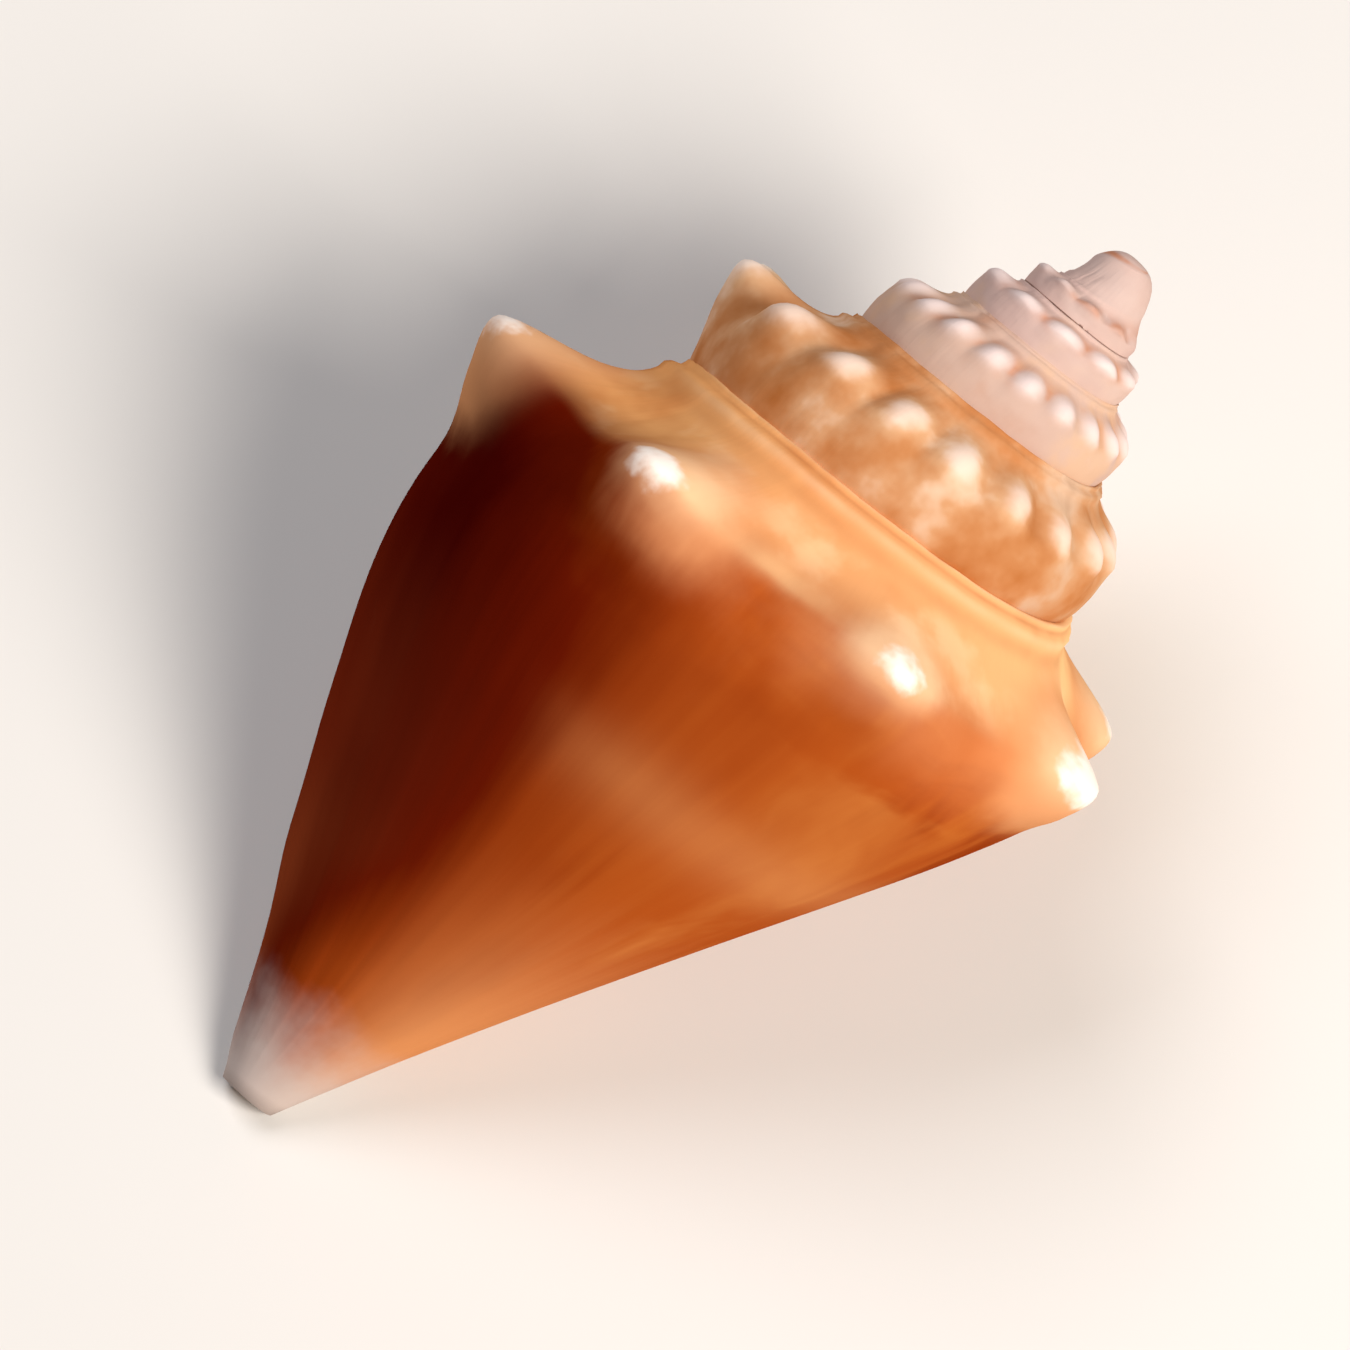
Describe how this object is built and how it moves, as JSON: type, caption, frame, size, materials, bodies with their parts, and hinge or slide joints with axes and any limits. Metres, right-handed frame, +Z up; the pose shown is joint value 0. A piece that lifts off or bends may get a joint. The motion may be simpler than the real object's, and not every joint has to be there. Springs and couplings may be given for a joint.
{
  "type": "fighting conch shell",
  "caption": "Knobbed, right-handed sea snail shell with a pointed spire, a turned-out lip and a long narrow mouth, lying mouth down.",
  "frame": {"origin": "bottom centre of the shell's box, on the surface it lies on", "axes": "+X towards the apex, +Y towards the side of the outer lip, +Z up"},
  "size_m": [0.0818, 0.0526, 0.0441],
  "materials": {
    "shell": "satin"
  },
  "bodies": {
    "root": {"shell": "shell"}
  },
  "joints": []
}
